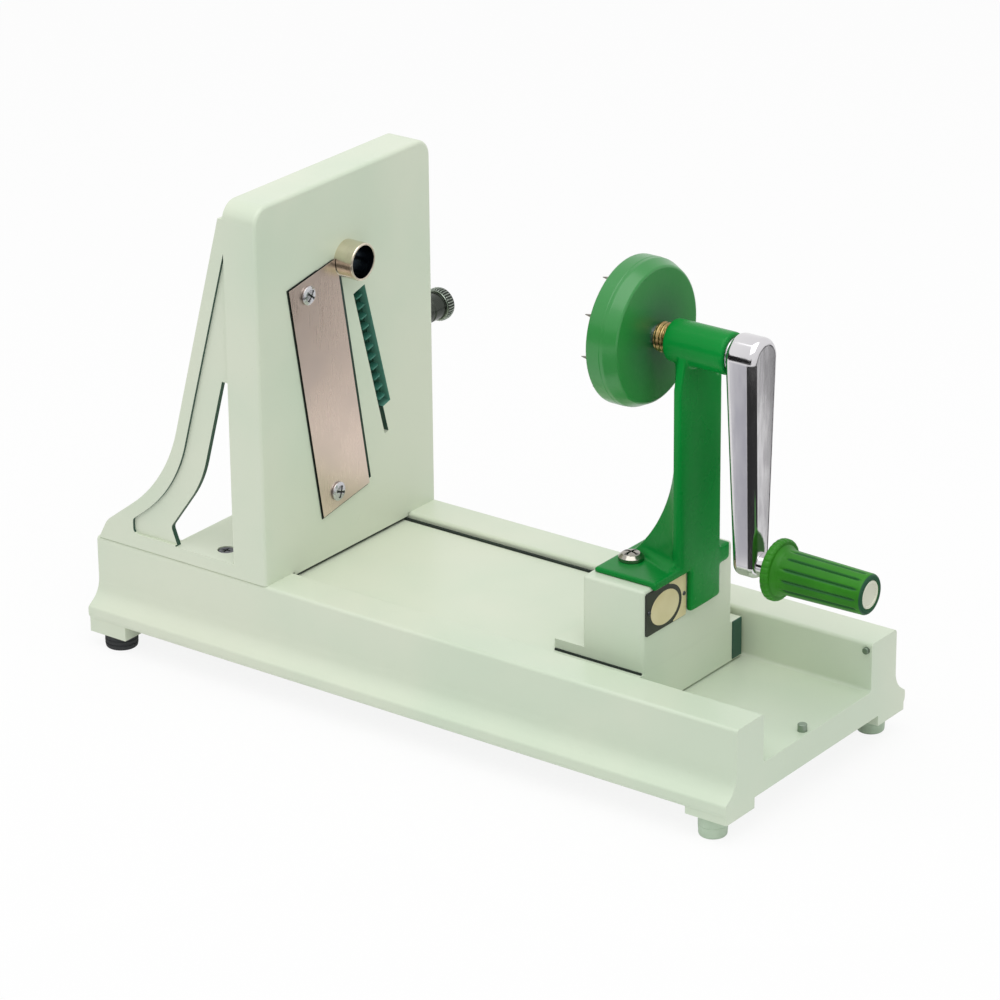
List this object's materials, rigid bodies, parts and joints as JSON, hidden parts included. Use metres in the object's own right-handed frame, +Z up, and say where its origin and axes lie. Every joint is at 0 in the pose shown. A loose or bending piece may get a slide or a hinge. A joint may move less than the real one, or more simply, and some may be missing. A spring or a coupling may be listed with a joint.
{
  "type": "hand cranked spiral vegetable slicer",
  "caption": "Table-top spiral slicer: a cast rail base with an upright blade plate, and a sliding carriage whose crank turns a spiked disk against the knife.",
  "frame": {"origin": "middle of the bounding box's bottom face, on the floor", "axes": "+X from the blade end to the crank end, +Z up, +Y to the side of the clamp knob"},
  "size_m": [0.3924, 0.1586, 0.2384],
  "materials": {
    "mint_casting": "pale mint green enamel on a sand casting, satin",
    "green_enamel": "deep green enamel, glossy",
    "chrome_plate": "bright chrome plate",
    "blade_steel": "ground and polished stainless steel",
    "tube_steel": "turned steel, warm tone",
    "plated_steel": "zinc plated steel",
    "dark_screws": "dark oiled steel",
    "knob_metal": "turned and knurled aluminium",
    "brass_fittings": "turned brass",
    "badge_cream": "blank cream enamel plate with a dark border",
    "glide_nylon": "natural nylon",
    "peg_plastic": "pale green plastic",
    "black_rubber": "black rubber",
    "grip_plastic": "glossy green plastic",
    "cap_plastic": "cream plastic"
  },
  "bodies": {
    "base": {"base_frame": "mint_casting", "front_pegs": "peg_plastic", "rubber_feet": "black_rubber", "foot_screws": "plated_steel", "stop_pin": "plated_steel", "rail_peg": "plated_steel", "blade_stand": "mint_casting", "stand_screws": "dark_screws", "main_blade": "blade_steel", "blade_screws": "plated_steel", "core_tube": "tube_steel"},
    "comb": {"comb_holder": "mint_casting", "comb_teeth": "blade_steel"},
    "knob": {"clamp_screw": "plated_steel", "clamp_knob": "knob_metal"},
    "carriage": {"sled": "mint_casting", "sled_runners": "glide_nylon", "side_glides": "glide_nylon", "carriage_block": "mint_casting", "block_screws": "plated_steel", "crank_bracket": "green_enamel", "bracket_screws": "chrome_plate", "bearing_bushes": "brass_fittings", "badge_plate": "badge_cream", "badge_rivets": "brass_fittings"},
    "crank": {"crank_shaft": "plated_steel", "food_disk": "green_enamel", "disk_spikes": "blade_steel", "disk_screw": "plated_steel", "shaft_collar": "brass_fittings", "thrust_washer": "plated_steel", "crank_arm": "chrome_plate", "set_screw": "dark_screws", "grip_axle": "plated_steel", "axle_spacer": "chrome_plate"},
    "grip": {"handle_grip": "grip_plastic", "grip_cap": "cap_plastic"}
  },
  "joints": [
    {"name": "carriage_slide", "type": "slide", "parent": "base", "child": "carriage", "axis": [1, 0, 0], "range_m": [-0.145, 0.063]},
    {"name": "crank_spin", "type": "hinge", "parent": "carriage", "child": "crank", "pos_m": [0.10777, -0.0057, 0.197], "axis": [1, 0, 0], "continuous": true},
    {"name": "grip_spin", "type": "hinge", "parent": "crank", "child": "grip", "pos_m": [0.16978, -0.0057, 0.1009], "axis": [1, 0, 0], "continuous": true},
    {"name": "comb_slide", "type": "slide", "parent": "base", "child": "comb", "axis": [1, 0, 0], "range_m": [0, 0.0044]},
    {"name": "knob_turn", "type": "hinge", "parent": "base", "child": "knob", "pos_m": [-0.10172, 0.0693, 0.1472], "axis": [0, 1, 0], "range_deg": [0, 360]}
  ]
}
